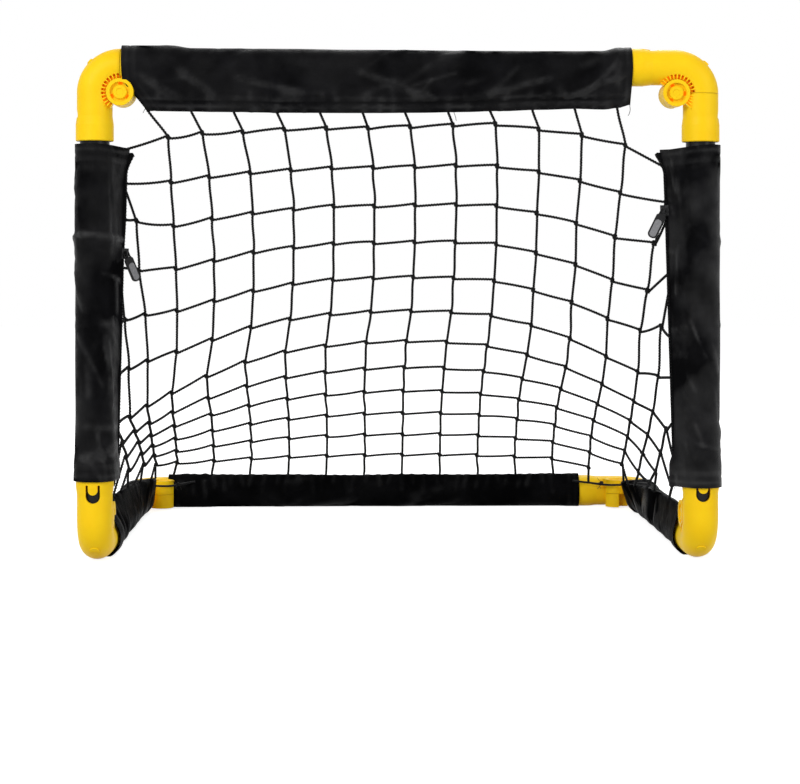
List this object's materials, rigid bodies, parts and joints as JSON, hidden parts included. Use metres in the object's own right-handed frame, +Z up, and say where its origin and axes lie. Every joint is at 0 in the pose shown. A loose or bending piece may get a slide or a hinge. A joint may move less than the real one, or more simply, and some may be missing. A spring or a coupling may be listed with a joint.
{
  "type": "folding net goal",
  "caption": "Small folding goal: round bars in black fabric sleeves, yellow hinged elbows at the corners and a knotted cord net sloping from the crossbar to the rear bar.",
  "frame": {"origin": "on the floor, in the middle of the footprint", "axes": "+X across the mouth, to the right of someone who looks in through it; +Y from the mouth to the rear bar; +Z up"},
  "size_m": [0.55, 0.44, 0.438],
  "materials": {
    "yellow_plastic": "smooth moulded yellow plastic with a soft shine",
    "black_tube": "thin black paint on steel tube",
    "black_satin": "black satin-faced woven polyester with stitched hems",
    "black_cord": "knotted and braided black polyester cord",
    "zip_tape": "black woven zip tape with a nylon coil",
    "zip_metal": "black enamelled die-cast metal",
    "grey_rubber": "soft grey moulded inset"
  },
  "bodies": {
    "base_frame": {"side_tube_left": "black_tube", "side_tube_right": "black_tube", "rear_tube": "black_tube", "side_sleeve_left": "black_satin", "side_sleeve_right": "black_satin", "rear_sleeve": "black_satin", "elbow_bend_rear_left": "yellow_plastic", "elbow_bend_rear_right": "yellow_plastic", "elbow_socket_rear_left": "yellow_plastic", "elbow_socket_rear_right": "yellow_plastic", "hinge_pin_rear_left": "yellow_plastic", "hinge_pin_rear_right": "yellow_plastic", "elbow_socket_front_left": "yellow_plastic", "elbow_socket_front_right": "yellow_plastic", "hinge_pin_front_left": "yellow_plastic", "hinge_pin_front_right": "yellow_plastic", "net_back": "black_cord", "net_side_left": "black_cord", "net_side_right": "black_cord", "border_cord_left": "black_cord", "border_cord_right": "black_cord"},
    "front_frame": {"crossbar_tube": "black_tube", "crossbar_sleeve": "black_satin", "post_tube_left": "black_tube", "post_tube_right": "black_tube", "post_sleeve_left": "black_satin", "post_sleeve_right": "black_satin", "zip_tape_left": "zip_tape", "zip_tape_right": "zip_tape", "elbow_bend_top_left": "yellow_plastic", "elbow_bend_top_right": "yellow_plastic", "elbow_socket_top_left": "yellow_plastic", "elbow_socket_top_right": "yellow_plastic", "hinge_pin_top_left": "yellow_plastic", "hinge_pin_top_right": "yellow_plastic", "elbow_bend_front_left": "yellow_plastic", "elbow_bend_front_right": "yellow_plastic"},
    "button_top_left": {"release_button_top_left": "yellow_plastic"},
    "button_top_right": {"release_button_top_right": "yellow_plastic"},
    "button_front_left": {"release_button_front_left": "yellow_plastic"},
    "button_front_right": {"release_button_front_right": "yellow_plastic"},
    "button_rear_left": {"release_button_rear_left": "yellow_plastic"},
    "button_rear_right": {"release_button_rear_right": "yellow_plastic"},
    "zip_slider_body_left": {"zip_slider_left": "zip_metal"},
    "zip_pull_body_left": {"zip_pull_left": "zip_metal", "zip_pull_inset_left": "grey_rubber"},
    "zip_slider_body_right": {"zip_slider_right": "zip_metal"},
    "zip_pull_body_right": {"zip_pull_right": "zip_metal", "zip_pull_inset_right": "grey_rubber"}
  },
  "joints": [
    {"name": "front_frame_fold", "type": "hinge", "parent": "base_frame", "child": "front_frame", "pos_m": [0, -0.18, 0.038], "axis": [-1, 0, 0], "range_deg": [0, 90], "deforming": ["net_back", "net_side_left", "net_side_right"]},
    {"name": "button_press_top_left", "type": "slide", "parent": "front_frame", "child": "button_top_left", "axis": [0.7071, 0, -0.7071], "range_m": [0, 0.0015], "stiffness_N_per_m": 1500, "springref_m": -0.001},
    {"name": "button_press_top_right", "type": "slide", "parent": "front_frame", "child": "button_top_right", "axis": [-0.7071, 0, -0.7071], "range_m": [0, 0.0015], "stiffness_N_per_m": 1500, "springref_m": -0.001},
    {"name": "button_press_front_left", "type": "slide", "parent": "front_frame", "child": "button_front_left", "axis": [0, 0.7071, 0.7071], "range_m": [0, 0.0015], "stiffness_N_per_m": 1500, "springref_m": -0.001},
    {"name": "button_press_front_right", "type": "slide", "parent": "front_frame", "child": "button_front_right", "axis": [0, 0.7071, 0.7071], "range_m": [0, 0.0015], "stiffness_N_per_m": 1500, "springref_m": -0.001},
    {"name": "button_press_rear_left", "type": "slide", "parent": "base_frame", "child": "button_rear_left", "axis": [0.7071, -0.7071, 0], "range_m": [0, 0.0015], "stiffness_N_per_m": 1500, "springref_m": -0.001},
    {"name": "button_press_rear_right", "type": "slide", "parent": "base_frame", "child": "button_rear_right", "axis": [-0.7071, -0.7071, 0], "range_m": [0, 0.0015], "stiffness_N_per_m": 1500, "springref_m": -0.001},
    {"name": "zip_slide_left", "type": "slide", "parent": "front_frame", "child": "zip_slider_body_left", "axis": [0.0229, 0.0193, 0.9996], "range_m": [-0.17, 0.085]},
    {"name": "zip_pull_swing_left", "type": "hinge", "parent": "zip_slider_body_left", "child": "zip_pull_body_left", "pos_m": [-0.23292, -0.18625, 0.262], "axis": [-0.6868, -0.5763, -0.4428], "range_deg": [0, 120]},
    {"name": "zip_slide_right", "type": "slide", "parent": "front_frame", "child": "zip_slider_body_right", "axis": [-0.0291, 0.0073, 0.9996], "range_m": [-0.207, 0.048]},
    {"name": "zip_pull_swing_right", "type": "hinge", "parent": "zip_slider_body_right", "child": "zip_pull_body_right", "pos_m": [0.22721, -0.1984, 0.299], "axis": [-0.87, 0.2169, 0.4428], "range_deg": [0, 120]}
  ]
}
